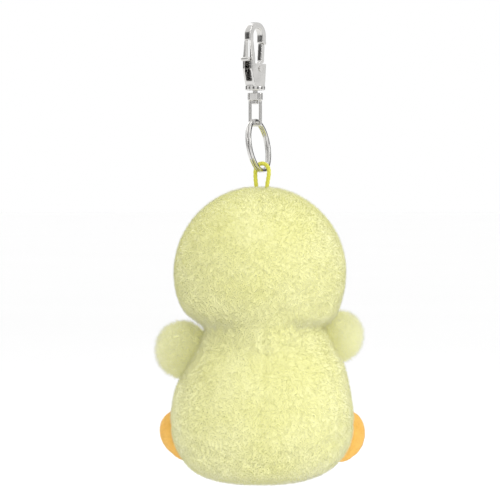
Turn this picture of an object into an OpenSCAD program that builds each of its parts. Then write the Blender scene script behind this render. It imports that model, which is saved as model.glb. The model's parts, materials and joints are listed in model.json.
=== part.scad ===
// Plush chick keychain: trigger snap, swivel eye, split ring, cord loop and a stuffed chick.
// +Z is up and the keychain hangs. The origin is the centre of the hook's round seat.
// The chick's face looks along -Y and its back along +Y.

/* [Snap hook] */
// Inside radius of the round seat in the hook
seat_r = 2.65; // [2.4:0.05:3.2]
// Width of the hook's bar, from the seat to the outside
bar_w = 2.2; // [1.8:0.1:2.6]
// Thickness of the hook's bar across its flat sides
bar_t = 2.6; // [2.2:0.1:3.2]
// Thickness of the casting round the spring
casing_t = 4.4; // [4.2:0.1:5.3]
// Length of the snap from the centre of the seat to the foot of its flange
snap_l = 20.3; // [19:0.1:24.4]
// Radius of the round flange at the foot of the snap
flange_r = 3.7; // [3.2:0.1:4.5]
// Thickness of that flange
flange_t = 1.65; // [1.2:0.05:2.2]
// Turn of the hook about the vertical, from the line of the chick's shoulders
hook_turn = 232; // [180:1:270]

/* [Trigger] */
// Radius of the pin that the trigger turns on
pin_r = 0.7; // [0.5:0.05:0.85]
// Thickness of the trigger
lever_t = 1.8; // [1.4:0.1:2.1]
// Width of the gate arm where it meets the nose
gate_w = 1.9; // [1.4:0.1:2.1]
// Distance from the back of the hook to the middle of the thumb tab's roll
tab_reach = 1.0; // [0.9:0.1:1.6]
// Wire diameter of the trigger's spring
spring_wire = 0.36; // [0.25:0.01:0.42]

/* [Swivel eye] */
// Diameter of the eye's round wire
eye_wire = 1.2; // [1:0.05:1.5]
// Clear width inside the eye
eye_gap = 2.9; // [2.5:0.05:4]
// Clear height from the collar to the eye's lower bar
eye_h = 8.5; // [7.5:0.1:10.5]
// Length of the eye's collar
collar_l = 5.8; // [5:0.1:7]
// Height of the eye's collar
collar_h = 2.7; // [2:0.1:3.4]
// Radius of the swivel rivet's shank
rivet_r = 0.9; // [0.7:0.05:1.1]

/* [Split ring] */
// Outside diameter of the split ring
ring_od = 20; // [18:0.5:25]
// Width of the ring's flat wire
ring_wire_w = 1.3; // [1:0.05:1.6]
// Thickness of one turn of the ring's wire
ring_wire_t = 1.0; // [0.8:0.05:1.1]
// Turn of the eye and ring about the vertical
ring_turn = -21.5; // [-45:0.5:45]
// Lean of the ring from the vertical
ring_lean = 9.2; // [0:0.1:12]

/* [Cord] */
// Diameter of the braided cord
cord_d = 1.5; // [1.2:0.1:1.9]

/* [Chick] */
// Half the height of the head
head_r = 32; // [28:0.1:39]
// Extra half width of the head beyond half its height
head_spread = 0.3; // [0.2:0.1:6]
// Height of the middle of the head above the base
head_z = 78; // [74:0.5:92]
// Largest radius of the body
body_r = 34.3; // [30:0.1:42]
// Height of the body's widest point, which is also the radius of its round base
base_r = 22; // [18:0.1:27]
// Radius of the curve from the body's widest point up to the neck
flank_r = 52; // [46:0.5:64]
// Height of the neck seam above the base
neck_z = 57.7; // [53:0.1:63]
// Thickness of the plush fabric with its pile
fabric_t = 1.2; // [0.8:0.1:1.6]
// Height of the seam round the base
base_seam_z = 8; // [5:0.5:12]
// Radius of the bag of pellets in the base
pellet_r = 15; // [10:0.5:17]

/* [Face] */
// Radius of each eye
bead_r = 2.6; // [2:0.1:3.2]
// Turn of each eye from straight ahead
bead_turn = 24; // [16:1:34]
// Half width of the upper beak
beak_r = 5.6; // [4:0.1:7]
// Thickness of the upper beak
beak_t = 3.4; // [2.4:0.1:4.4]

/* [Wings and feet] */
// Radius of each wing
wing_r = 11.5; // [9:0.1:14]
// Thickness of each wing
wing_t = 8.5; // [7:0.1:10]
// Height of the left wing's root above the base
wing_left_z = 46.2; // [44:0.1:49]
// Height of the right wing's root above the base
wing_right_z = 51.8; // [46:0.1:52]
// Radius of each foot
foot_r = 10.5; // [8:0.1:12.5]
// Thickness of each foot
foot_t = 7; // [6:0.1:9]
// Height of the feet's roots above the base
foot_z = 15.5; // [14:0.1:20]
// Turn of each foot from straight ahead
foot_turn = 58; // [48:1:66]

/* [Hidden] */
$fn = 64;
facets = 32;          // sides of a circle inside a hull
big = 200;            // longer than anything here
eps = 0.01;

// Running clearances
pin_gap = 0.05;       // trigger on its pin
rivet_gap = 0.08;     // rivet in the flange
slot_gap = 0.2;       // each side of the trigger in its slot
gate_gap = 0.15;      // between the gate and the nose
seat_gap = 0.08;      // split ring on the eye's bar, and rivet heads on their seats
turn_gap = 0.05;      // between the two turns of the split ring
seam_gap = 0.1;       // between neighbouring fabric panels
fill_gap = 0.1;       // between the fabric and the stuffing
root_gap = 0.4;       // between the body and the roll at a wing's or foot's root
flap_gap = 1.9;       // between the body and the rest of a wing or foot

// Snap hook, in its own plane: x runs from the spine to the nose, z is up, y is the thickness
hook_r = seat_r + bar_w;
flange_z = -snap_l;
casing_z = flange_z + flange_t;
casing_top = casing_z + 8.2;
pivot = [0.4, casing_top - 1.8];
nose_mid = seat_r + bar_w / 2;
nose_z = -3;
gate_r = norm([nose_mid - pivot[0], nose_z - pivot[1]]) - gate_gap;
slot_w = lever_t + 2 * slot_gap;
slot_top = -1.8;
cavity_floor = casing_z + 1.2;
cavity_top = pivot[1] - 1.3;
cavity_w = slot_w + 0.9;
window_w = slot_w + 0.5;
hub_r = pin_r + 0.55;
gate_bend = [nose_mid - 0.55, casing_top + 1.1];
tab_heel = [-seat_r - 0.5, casing_top + 0.6];
tab_roll_r = 0.75;
tab_end = [-hook_r - tab_reach, casing_top + 1.6];
spring_x = -1.55;
spring_r = 0.95;
spring_turns = 5;
rivet_head_r = rivet_r + 0.55;
rivet_head_t = 0.8;
spring_foot = cavity_floor + seat_gap + rivet_head_t + seat_gap + 0.1;
spring_head = cavity_top + 0.45;

// Swivel eye
collar_top = flange_z - 0.9;
collar_foot = collar_top - collar_h;
eye_bar_z = collar_foot - eye_h - eye_wire / 2;
eye_leg_x = (eye_gap + eye_wire) / 2;

// Split ring: it hangs on the eye's lower bar and carries the cord at its foot
ring_r = ring_od / 2;
ring_t = 2 * ring_wire_t + turn_gap;
ring_drop = ring_r - ring_wire_w - eye_wire / 2 - seat_gap - tan(ring_lean) * ring_t / 2;
ring_step = 14;       // angle over which the wire crosses from one turn to the other
ring_step_at = 150;   // where it crosses
foot_drop = ring_drop + ring_r - ring_wire_w / 2;
loop_local = [-foot_drop * sin(ring_lean), 0, eye_bar_z - foot_drop * cos(ring_lean)];
loop_at = [loop_local[0] * cos(ring_turn), loop_local[0] * sin(ring_turn), loop_local[2]];

// Cord, from the knot round the split ring and back; x runs across the loop, z is up from the ring's foot
cord_route = [
  [1.2, 0, -12.2], [1.6, 0, -10.6], [1.9, 0, -8.8], [2.2, 0, -7], [2.4, 0, -5.2], [2.6, 0, -3.4],
  [2.7, 0, -1.7], [2.65, 0, 0], [2.4, 0, 1.1], [1.8, 0, 2], [1, 0, 2.5], [0, 0, 2.7],
  [-1, 0, 2.5], [-1.8, 0, 2], [-2.4, 0, 1.1], [-2.65, 0, 0], [-2.6, 0, -1.7], [-2.3, 0, -3.4],
  [-2, 0, -5.2], [-1.9, 0, -7], [-1.7, 0, -8.8], [-1.5, 0, -10.6], [-1.2, 0, -12.2]
];
knot_r = 2.4;
cord_bury = 5.5;      // from the ring's foot down to the top of the head

// Chick: the axis hangs under the cord, and heights count up from the base
head_top = head_z + head_r;
chick_at = [loop_at[0], loop_at[1], loop_at[2] - cord_bury - head_top];
body_out = body_r - base_r;
flank_out = body_r - flank_r;
head_cut = neck_z + seam_gap / 2;
body_cut = neck_z - seam_gap / 2;
pellet_z = base_r * 0.82;

function body_radius(z) = flank_out + sqrt(pow(flank_r, 2) - pow(z - base_r, 2));
function head_radius(z) = head_spread + sqrt(pow(head_r, 2) - pow(z - head_z, 2));
function flank_lean(z) = asin((z - base_r) / flank_r);
function disc_curve(r, t) = (r * r + t * t / 4) / t;

// ---------- shared shapes ----------

// A flat outline in the hook's plane, made solid across the hook
module across_hook(t) {
  rotate([90, 0, 0]) linear_extrude(height = t, center = true) children();
}

module rod(p, q, r) {
  hull() {
    translate(p) circle(r, $fn = facets);
    translate(q) circle(r, $fn = facets);
  }
}

module in_hook() {
  rotate([0, 0, hook_turn]) children();
}

module in_ring_frame() {
  rotate([0, 0, ring_turn]) children();
}

module in_chick() {
  translate(chick_at) children();
}

// ---------- snap hook and trigger ----------

module hook_outline() {
  difference() {
    union() {
      circle(hook_r);
      translate([-hook_r, casing_top]) square([bar_w, -casing_top]);
      translate([seat_r, nose_z - 1]) square([bar_w, 1 - nose_z]);
    }
    circle(seat_r);
    translate([-seat_r, casing_top - 1]) square([2 * seat_r, 1 - casing_top]);
    translate([0, casing_top - 1]) square([hook_r + 1, nose_z - casing_top]);
    translate(pivot) intersection() {
      circle(gate_r + gate_gap);
      translate([0, 0]) square(big);
    }
  }
}

module casing_outline() {
  polygon([
    [-hook_r, casing_top + 2.4],
    [-hook_r, casing_top - 2],
    [-flange_r + 0.5, casing_z - eps],
    [flange_r - 0.5, casing_z - eps],
    [hook_r - 1, casing_top],
    [-seat_r, casing_top],
    [-seat_r, casing_top + 2.4]
  ]);
}

// Outline of the snap seen from its back: slim at the hook and thick at the casing
module spine_outline() {
  half_bar = bar_t / 2;
  half_casing = casing_t / 2;
  polygon([
    [-half_bar, hook_r + 1],
    [half_bar, hook_r + 1],
    [half_bar, slot_top],
    [half_casing, casing_top + 1.5],
    [half_casing, casing_z + 1.5],
    [half_casing - 0.2, casing_z - 1],
    [0.2 - half_casing, casing_z - 1],
    [-half_casing, casing_z + 1.5],
    [-half_casing, casing_top + 1.5],
    [-half_bar, slot_top]
  ]);
}

module snap_body() {
  color("silver") in_hook() difference() {
    union() {
      intersection() {
        across_hook(casing_t + 1) union() {
          hook_outline();
          casing_outline();
        }
        rotate([90, 0, 90]) linear_extrude(height = 4 * hook_r, center = true) spine_outline();
      }
      translate([0, 0, flange_z]) cylinder(h = flange_t, r = flange_r);
    }
    // slot for the trigger, through the spine and down into the casting
    translate([-2 * hook_r, -slot_w / 2, cavity_top]) cube([2 * hook_r - seat_r + 1, slot_w, slot_top - cavity_top]);
    translate([-seat_r, -slot_w / 2, cavity_top]) cube([seat_r + hook_r + 1, slot_w, 1 - cavity_top + casing_top]);
    // chamber for the spring and the head of the rivet, open at the back
    translate([-seat_r - 0.2, -cavity_w / 2, cavity_floor]) cube([2 * seat_r, cavity_w, cavity_top - cavity_floor + eps]);
    translate([-2 * hook_r, -window_w / 2, cavity_floor + 0.8]) cube([2 * hook_r, window_w, cavity_top - cavity_floor]);
    translate([pivot[0], 0, pivot[1]]) rotate([90, 0, 0]) cylinder(h = big, r = pin_r, center = true);
    translate([0, 0, flange_z - 1]) cylinder(h = cavity_floor - flange_z + 2, r = rivet_r + rivet_gap);
  }
}

module lever_outline() {
  translate(pivot) circle(hub_r + 0.1, $fn = facets);
  rod(pivot, gate_bend, 0.75);
  intersection() {
    rod(gate_bend, [nose_mid, nose_z + 1], gate_w / 2);
    translate(pivot) circle(gate_r, $fn = 4 * facets);
  }
  rod(pivot, tab_heel, 0.7);
  rod(tab_heel, tab_end, 0.65);
  rod([spring_x - 0.5, spring_head + 0.5], [spring_x + 0.7, spring_head + 0.5], 0.45);
}

module gate_lever() {
  color("gainsboro") in_hook() difference() {
    union() {
      across_hook(lever_t) lever_outline();
      translate([tab_end[0], 0, tab_end[1]]) rotate([90, 0, 0]) cylinder(h = casing_t - 1, r = tab_roll_r, center = true);
    }
    translate([pivot[0], 0, pivot[1]]) rotate([90, 0, 0]) cylinder(h = big, r = pin_r + pin_gap, center = true);
  }
}

module lever_pin() {
  head_t = 0.35;
  color("silver") in_hook() translate([pivot[0], 0, pivot[1]]) rotate([90, 0, 0]) {
    cylinder(h = casing_t, r = pin_r, center = true);
    for (side = [-1, 1]) {
      translate([0, 0, side * (casing_t + head_t) / 2]) cylinder(h = head_t, r = pin_r + 0.35, center = true);
    }
  }
}

// Wire swept along a list of points, with flat ends
module wire(path, d, sides) {
  last = len(path) - 1;
  rings = [for (i = [0 : last]) wire_ring(path, i, d / 2, sides)];
  points = [for (ring = rings) each ring];
  walls = [
    for (i = [0 : last - 1], s = [0 : sides - 1])
      let (a = i * sides + s, b = i * sides + (s + 1) % sides)
        each [[a, b, b + sides], [a, b + sides, a + sides]]
  ];
  start = [for (s = [1 : sides - 2]) [0, s + 1, s]];
  end = [for (s = [1 : sides - 2]) [last * sides, last * sides + s, last * sides + s + 1]];
  polyhedron(points = points, faces = concat(walls, start, end), convexity = 6);
}

function unit(v) = v / norm(v);
function wire_way(path, i) =
  unit(path[min(i + 1, len(path) - 1)] - path[max(i - 1, 0)]);
// Each ring stands square to the path; side keeps the rings from twisting
function wire_ring(path, i, r, sides, side = [0, 1, 0]) =
  let (way = wire_way(path, i), up = unit(cross(way, side)), out = unit(cross(up, way)))
    [for (s = [0 : sides - 1]) path[i] + r * (cos(360 * s / sides) * out - sin(360 * s / sides) * up)];

module lever_spring() {
  steps = 14;
  top = spring_head - spring_wire / 2 - 0.02;
  foot = spring_foot + spring_wire / 2;
  path = [
    for (i = [0 : steps * spring_turns])
      let (turn = 360 * i / steps, rise = i / (steps * spring_turns))
        [spring_x + spring_r * cos(turn), spring_r * sin(turn), foot + (top - foot) * rise]
  ];
  color("dimgray") in_hook() helix(path, spring_wire, 6);
}

// A coil's rings stand on its own axis, so their side direction is the vertical
module helix(path, d, sides) {
  last = len(path) - 1;
  points = [for (i = [0 : last]) each wire_ring(path, i, d / 2, sides, [0, 0, 1])];
  walls = [
    for (i = [0 : last - 1], s = [0 : sides - 1])
      let (a = i * sides + s, b = i * sides + (s + 1) % sides)
        each [[a, b, b + sides], [a, b + sides, a + sides]]
  ];
  start = [for (s = [1 : sides - 2]) [0, s + 1, s]];
  end = [for (s = [1 : sides - 2]) [last * sides, last * sides + s, last * sides + s + 1]];
  polyhedron(points = points, faces = concat(walls, start, end), convexity = 10);
}

// ---------- swivel eye and split ring ----------

module swivel_eye() {
  collar_w = 3;
  wire_r = eye_wire / 2;
  color("silver") in_ring_frame() difference() {
    union() {
      translate([0, 0, collar_foot]) {
        translate([-(collar_l - collar_w) / 2, -collar_w / 2, 0]) cube([collar_l - collar_w, collar_w, collar_h]);
        for (side = [-1, 1]) {
          translate([side * (collar_l - collar_w) / 2, 0, 0]) cylinder(h = collar_h, r = collar_w / 2);
        }
      }
      for (side = [-1, 1]) {
        translate([side * eye_leg_x, 0, eye_bar_z]) {
          cylinder(h = collar_foot - eye_bar_z + 1, r = wire_r);
          sphere(wire_r);
        }
      }
      translate([0, 0, eye_bar_z]) rotate([0, 90, 0]) cylinder(h = 2 * eye_leg_x, r = wire_r, center = true);
    }
    translate([0, 0, collar_foot - 1]) cylinder(h = collar_h + 2, r = rivet_r);
  }
}

module swivel_rivet() {
  head_z = cavity_floor + seat_gap;
  tail_t = 1.4;
  color("gainsboro") in_ring_frame() {
    translate([0, 0, collar_foot - tail_t]) cylinder(h = head_z - collar_foot + tail_t + eps, r = rivet_r);
    translate([0, 0, head_z]) cylinder(h = rivet_head_t, r = rivet_head_r);
    translate([0, 0, collar_foot - tail_t]) cylinder(h = tail_t, r = min(rivet_r + 0.3, eye_gap / 2 - 0.05));
  }
}

module ring_section(turn) {
  translate([ring_r - ring_wire_w, (turn - 0.5) * (ring_wire_t + turn_gap) - ring_wire_t / 2])
    square([ring_wire_w, ring_wire_t]);
}

// The short stretch where the wire crosses from the first turn to the second
module ring_crossing() {
  half = ring_r * sin(ring_step / 2) + 0.12;
  rise = (ring_wire_t + turn_gap) / 2;
  rotate([0, 0, ring_step / 2]) translate([ring_r - ring_wire_w + 0.02, 0, 0])
    rotate([90, 0, 90]) linear_extrude(height = ring_wire_w - 0.1) polygon([
      [-half, -rise - ring_wire_t / 2],
      [half, rise - ring_wire_t / 2],
      [half, rise + ring_wire_t / 2],
      [-half, ring_wire_t / 2 - rise]
    ]);
}

module split_ring() {
  color("silver") in_ring_frame() translate([0, 0, eye_bar_z]) rotate([0, ring_lean, 0])
    translate([0, 0, -ring_drop]) rotate([0, 90, 0]) rotate([0, 0, ring_step_at]) {
      for (turn = [0, 1]) {
        rotate([0, 0, ring_step]) rotate_extrude(angle = 360 - ring_step) ring_section(turn);
      }
      ring_crossing();
    }
}

// ---------- cord ----------

module cord_loop() {
  color("yellow") translate(loop_at) in_ring_frame() wire(cord_route, cord_d, 8);
}

module cord_knot() {
  last = cord_route[len(cord_route) - 1];
  color("gold") translate(loop_at) in_ring_frame() translate([0, 0, last[2] - knot_r * 0.6]) sphere(knot_r);
}

// ---------- head and body ----------

// Outline of the head from its axis outwards, drawn in by inset, or grown all round when it is negative
module head_outline(inset) {
  r = head_r - inset;
  intersection() {
    translate([0, head_z]) union() {
      translate([head_spread, 0]) circle(r);
      translate([0, -r]) square([head_spread, 2 * r]);
    }
    translate([0, head_cut + min(inset, 0)]) square([big, big]);
  }
}

// Outline of the body from its axis outwards, drawn in by inset, or grown all round when it is negative
module body_outline(inset) {
  intersection() {
    union() {
      intersection() {
        translate([body_out, base_r]) circle(base_r - inset);
        square([big, base_r]);
      }
      translate([0, inset]) square([body_out, base_r - inset]);
      intersection() {
        translate([flank_out, base_r]) circle(flank_r - inset);
        translate([0, base_r]) square([big, big]);
      }
    }
    square([big, body_cut - min(inset, 0)]);
  }
}

module head_form(inset) {
  rotate_extrude() head_outline(inset);
}

module body_form(inset) {
  rotate_extrude() body_outline(inset);
}

module head_skin() {
  difference() {
    head_form(0);
    translate([0, 0, -eps]) head_form(fabric_t);
    for (side = [-1, 1]) in_bead(side) cylinder(h = big, r = bead_shank_r + 0.05);
  }
}

module body_skin() {
  difference() {
    body_form(0);
    translate([0, 0, eps]) body_form(fabric_t);
  }
}

// Keeps the back half on one side of the centre-back seam
module back_half(side) {
  intersection() {
    children();
    translate([side > 0 ? seam_gap / 2 : -big - seam_gap / 2, seam_gap / 2, -big]) cube([big, big, 2 * big]);
  }
}

module front_half() {
  intersection() {
    children();
    translate([-big, -big - seam_gap / 2, -big]) cube([2 * big, big, 2 * big]);
  }
}

module above_base() {
  intersection() {
    children();
    translate([-big, -big, base_seam_z + seam_gap / 2]) cube([2 * big, 2 * big, big]);
  }
}

module head_back(side) {
  color("khaki") in_chick() back_half(side) head_skin();
}

module head_back_left() {
  head_back(1);
}

module head_back_right() {
  head_back(-1);
}

module head_face() {
  color("khaki") in_chick() front_half() head_skin();
}

module head_stuffing() {
  color("white") in_chick() difference() {
    head_form(fabric_t + fill_gap);
    for (side = [-1, 1]) {
      in_bead(side) translate([0, 0, bead_seat - washer_drop - washer_t - bead_shank_l]) {
        cylinder(h = big, r = washer_r + 0.2);
      }
    }
  }
}

module body_back(side) {
  color("khaki") in_chick() above_base() back_half(side) body_skin();
}

module body_back_left() {
  body_back(1);
}

module body_back_right() {
  body_back(-1);
}

module body_belly() {
  color("khaki") in_chick() above_base() front_half() body_skin();
}

module body_base() {
  color("khaki") in_chick() intersection() {
    body_skin();
    translate([-big, -big, -big]) cube([2 * big, 2 * big, big + base_seam_z - seam_gap / 2]);
  }
}

module body_stuffing() {
  color("white") in_chick() difference() {
    body_form(fabric_t + fill_gap);
    translate([0, 0, pellet_z]) sphere(pellet_r + fill_gap);
  }
}

module pellet_bag() {
  color("gainsboro") in_chick() translate([0, 0, pellet_z]) sphere(pellet_r);
}

// ---------- face ----------

bead_shank_r = 1.1;
bead_shank_l = 3;
bead_lift = 3;        // height of the eyes above the middle of the head
bead_seat = head_radius(head_z + bead_lift);
washer_r = 3;
washer_t = 0.8;
washer_drop = fabric_t + 0.6;

// The eye's own axis runs out of the head
module in_bead(side) {
  translate([0, 0, head_z + bead_lift]) rotate([0, 0, -90 + side * bead_turn]) rotate([0, 90, 0]) children();
}

module bead(side) {
  color("black") in_chick() in_bead(side) {
    translate([0, 0, bead_seat - washer_drop - washer_t - 1]) {
      cylinder(h = washer_drop + washer_t + 1.2, r = bead_shank_r);
    }
    translate([0, 0, bead_seat + 0.15]) intersection() {
      translate([0, 0, -bead_r * 0.25]) sphere(bead_r);
      cylinder(h = big, r = big);
    }
  }
}

module eye_left() {
  bead(1);
}

module eye_right() {
  bead(-1);
}

module washer(side) {
  color("white") in_chick() in_bead(side) translate([0, 0, bead_seat - washer_drop - washer_t]) difference() {
    cylinder(h = washer_t, r = washer_r);
    translate([0, 0, -1]) cylinder(h = washer_t + 2, r = bead_shank_r + 0.03);
  }
}

module eye_washer_left() {
  washer(1);
}

module eye_washer_right() {
  washer(-1);
}

// A round pad with a crowned top and bottom, lying flat
module pad(r, t) {
  curve = disc_curve(r, t);
  intersection() {
    translate([0, 0, t / 2 - curve]) sphere(curve);
    translate([0, 0, curve - t / 2]) sphere(curve);
  }
}

// Half a pad, sewn on by its flat back
module beak_half(r, t, z, droop) {
  back = -head_radius(min(z + t / 2, head_z)) - 0.05;
  color("orange") in_chick() difference() {
    translate([0, back, z]) rotate([droop, 0, 0]) pad(r, t);
    translate([-big / 2, back, z - big / 2]) cube(big);
  }
}

module beak_upper() {
  beak_half(beak_r, beak_t, head_z - 2, -8);
}

module beak_lower() {
  beak_half(beak_r * 0.75, beak_t * 0.75, head_z - 2 - beak_t, 10);
}

// ---------- wings and feet ----------

roll_r = 1.1;

// Frame at a root on the flank: x runs out of the body, z along its slope, turned round the body by turn
module at_root(turn, z) {
  rotate([0, 0, turn]) translate([body_radius(max(z, base_r)), 0, z]) {
    rotate([0, -flank_lean(max(z, base_r)), 0]) translate([root_gap + roll_r, 0, 0]) children();
  }
}

// The whole flipper: a crowned pad standing on edge, cut clear of the body and head, and its root roll
module flipper(turn, z, r, t, inset) {
  difference() {
    at_root(turn, z) rotate([90, 0, 0]) pad(r - inset, t - 2 * inset);
    body_form(-flap_gap - inset);
    head_form(-flap_gap - inset);
  }
  if (inset == 0) difference() {
    at_root(turn, z) cylinder(h = r, r = roll_r, center = true);
    head_form(-root_gap);
  }
}

// One fabric panel of a flipper: the half on one side of its middle plane
module flipper_panel(turn, z, r, t, side) {
  in_chick() difference() {
    intersection() {
      flipper(turn, z, r, t, 0);
      at_root(turn, z) translate([-big / 2, side > 0 ? 0 : -big, -big / 2]) cube([big, big, big]);
    }
    flipper(turn, z, r, t, fabric_t - fill_gap);
  }
}

module flipper_filling(turn, z, r, t) {
  in_chick() flipper(turn, z, r, t, fabric_t);
}

module wing_left_back() {
  color("khaki") flipper_panel(0, wing_left_z, wing_r, wing_t, 1);
}

module wing_left_front() {
  color("khaki") flipper_panel(0, wing_left_z, wing_r, wing_t, -1);
}

module wing_left_stuffing() {
  color("white") flipper_filling(0, wing_left_z, wing_r, wing_t);
}

module wing_right_back() {
  color("khaki") flipper_panel(180, wing_right_z, wing_r, wing_t, -1);
}

module wing_right_front() {
  color("khaki") flipper_panel(180, wing_right_z, wing_r, wing_t, 1);
}

module wing_right_stuffing() {
  color("white") flipper_filling(180, wing_right_z, wing_r, wing_t);
}

module foot_left_back() {
  color("orange") flipper_panel(foot_turn - 90, foot_z, foot_r, foot_t, 1);
}

module foot_left_front() {
  color("orange") flipper_panel(foot_turn - 90, foot_z, foot_r, foot_t, -1);
}

module foot_left_stuffing() {
  color("white") flipper_filling(foot_turn - 90, foot_z, foot_r, foot_t);
}

module foot_right_back() {
  color("orange") flipper_panel(-foot_turn - 90, foot_z, foot_r, foot_t, -1);
}

module foot_right_front() {
  color("orange") flipper_panel(-foot_turn - 90, foot_z, foot_r, foot_t, 1);
}

module foot_right_stuffing() {
  color("white") flipper_filling(-foot_turn - 90, foot_z, foot_r, foot_t);
}

snap_body();
gate_lever();
lever_pin();
lever_spring();
swivel_eye();
swivel_rivet();
split_ring();
cord_loop();
cord_knot();
head_back_left();
head_back_right();
head_face();
head_stuffing();
eye_left();
eye_right();
eye_washer_left();
eye_washer_right();
beak_upper();
beak_lower();
body_back_left();
body_back_right();
body_belly();
body_base();
body_stuffing();
pellet_bag();
wing_left_back();
wing_left_front();
wing_left_stuffing();
wing_right_back();
wing_right_front();
wing_right_stuffing();
foot_left_back();
foot_left_front();
foot_left_stuffing();
foot_right_back();
foot_right_front();
foot_right_stuffing();
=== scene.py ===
"""Looks of the plush chick keychain: plush forms and their pile, bright nickel hardware and a braided cord.

It is laid out as an add-on and is run as a script. Lengths are in metres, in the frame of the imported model:
+Z is up, the chick's face looks along -Y and its back along +Y.
"""
import json
import math

import bmesh
import bpy
import numpy as np
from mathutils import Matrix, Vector


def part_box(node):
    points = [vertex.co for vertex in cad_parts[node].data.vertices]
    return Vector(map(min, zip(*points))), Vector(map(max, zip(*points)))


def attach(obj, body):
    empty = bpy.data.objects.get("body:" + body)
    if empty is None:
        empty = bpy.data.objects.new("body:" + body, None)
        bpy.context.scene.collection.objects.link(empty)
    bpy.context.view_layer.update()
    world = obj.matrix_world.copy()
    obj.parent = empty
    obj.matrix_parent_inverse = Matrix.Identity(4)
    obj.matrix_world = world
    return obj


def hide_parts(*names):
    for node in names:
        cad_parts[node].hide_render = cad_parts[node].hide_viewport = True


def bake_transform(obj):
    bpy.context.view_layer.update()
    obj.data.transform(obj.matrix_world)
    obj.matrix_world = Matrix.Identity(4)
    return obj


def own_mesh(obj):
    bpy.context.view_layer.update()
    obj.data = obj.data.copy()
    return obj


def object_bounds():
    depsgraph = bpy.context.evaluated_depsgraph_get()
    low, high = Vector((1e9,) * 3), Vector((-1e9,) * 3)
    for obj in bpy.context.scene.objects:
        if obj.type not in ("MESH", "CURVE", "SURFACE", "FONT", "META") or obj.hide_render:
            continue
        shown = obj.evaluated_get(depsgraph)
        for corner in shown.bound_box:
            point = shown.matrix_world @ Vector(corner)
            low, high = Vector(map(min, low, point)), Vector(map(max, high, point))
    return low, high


bl_info = {
    "name": "Plush Chick Keychain",
    "version": (1, 0, 0),
    "blender": (4, 5, 0),
    "location": "3D View > Sidebar > Keychain",
    "description": "Builds the plush forms, pile, cord and hardware of a chick keychain",
    "category": "Object",
}

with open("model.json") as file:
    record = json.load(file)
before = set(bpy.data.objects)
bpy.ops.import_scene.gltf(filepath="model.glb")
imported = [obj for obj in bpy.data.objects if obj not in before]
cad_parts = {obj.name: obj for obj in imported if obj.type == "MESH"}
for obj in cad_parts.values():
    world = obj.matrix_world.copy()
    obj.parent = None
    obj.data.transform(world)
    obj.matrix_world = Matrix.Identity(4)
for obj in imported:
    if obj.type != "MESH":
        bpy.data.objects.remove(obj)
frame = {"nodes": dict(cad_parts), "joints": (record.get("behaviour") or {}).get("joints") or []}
CAD_BOX = [[float(value) for value in corner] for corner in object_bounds()]
JOINTS = {joint["name"]: joint for joint in frame["joints"]}
MM = 0.001
TAU = 2 * math.pi
UP = Vector((0, 0, 1))


# ---------- places taken from the frame ----------

def joint_place(name):
    return Vector(JOINTS[name]["pos_m"])


def joint_axis(name):
    return Vector(JOINTS[name]["axis"]).normalized()


def node_low(name):
    return Vector(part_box(name)[0])


def node_high(name):
    return Vector(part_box(name)[1])


LOOP = joint_place("loop_swing")
BASE_Z = node_low("body_base").z
NECK_Z = node_high("body_stuffing").z
HEAD_TOP = node_high("head_face").z
HEAD_R = (node_high("head_face").x - node_low("head_face").x) / 2
HEAD_MID = HEAD_TOP - HEAD_R
BODY_R = (node_high("body_belly").x - node_low("body_belly").x) / 2
AXIS_X = (node_high("body_base").x + node_low("body_base").x) / 2
AXIS_Y = (node_high("body_base").y + node_low("body_base").y) / 2
BASE_R = 22 * MM     # rounding between the base and the flank
FLANK_R = 52 * MM    # rounding of the flank from the base up to the neck
VIEW_WIDTH = 185 * MM       # width of the scene that the camera takes in
VIEW_X = AXIS_X + 4.5 * MM  # the chick stands a little to one side of the middle
VIEW_Z = BASE_Z + 86.2 * MM


# ---------- settings ----------

class KeychainPlush(bpy.types.PropertyGroup):
    """Sizes and colours of the plush"""

    pile_length: bpy.props.FloatProperty(
        name="Pile length", description="Length of the short pile on the head and body",
        default=1.5 * MM, min=0.2 * MM, max=5 * MM, subtype="DISTANCE", unit="LENGTH")
    wing_pile_length: bpy.props.FloatProperty(
        name="Wing pile length", description="Length of the longer pile on the wings",
        default=2.6 * MM, min=0.2 * MM, max=6 * MM, subtype="DISTANCE", unit="LENGTH")
    felt_length: bpy.props.FloatProperty(
        name="Felt nap", description="Length of the nap on the feet and beak",
        default=0.55 * MM, min=0.1 * MM, max=3 * MM, subtype="DISTANCE", unit="LENGTH")
    strands: bpy.props.IntProperty(
        name="Strands", description="Strands of pile on each half of the head and of the body",
        default=46000, min=1000, max=49000)
    yellow: bpy.props.FloatVectorProperty(
        name="Yellow", description="Colour of the plush", subtype="COLOR",
        default=(0.90, 0.89, 0.42), min=0, max=1)
    pale_yellow: bpy.props.FloatVectorProperty(
        name="Pale yellow", description="Colour of the plush where its pile lies the other way",
        subtype="COLOR", default=(0.92, 0.91, 0.48), min=0, max=1)
    orange: bpy.props.FloatVectorProperty(
        name="Orange", description="Colour of the feet and beak", subtype="COLOR",
        default=(0.92, 0.54, 0.12), min=0, max=1)
    cord_yellow: bpy.props.FloatVectorProperty(
        name="Cord yellow", description="Colour of the braided cord", subtype="COLOR",
        default=(0.80, 0.78, 0.10), min=0, max=1)


class KeychainMetal(bpy.types.PropertyGroup):
    """Sizes and colours of the hardware"""

    edge_voxel: bpy.props.FloatProperty(
        name="Edge voxel", description="Grid that rounds the edges of the cast parts",
        default=0.11 * MM, min=0.08 * MM, max=0.4 * MM, subtype="DISTANCE", unit="LENGTH")
    nickel: bpy.props.FloatVectorProperty(
        name="Nickel", description="Colour of the nickel plate", subtype="COLOR",
        default=(0.66, 0.65, 0.63), min=0, max=1)


def plush_settings():
    return bpy.context.scene.keychain_plush


def metal_settings():
    return bpy.context.scene.keychain_metal


# ---------- shader node groups and materials ----------

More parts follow.
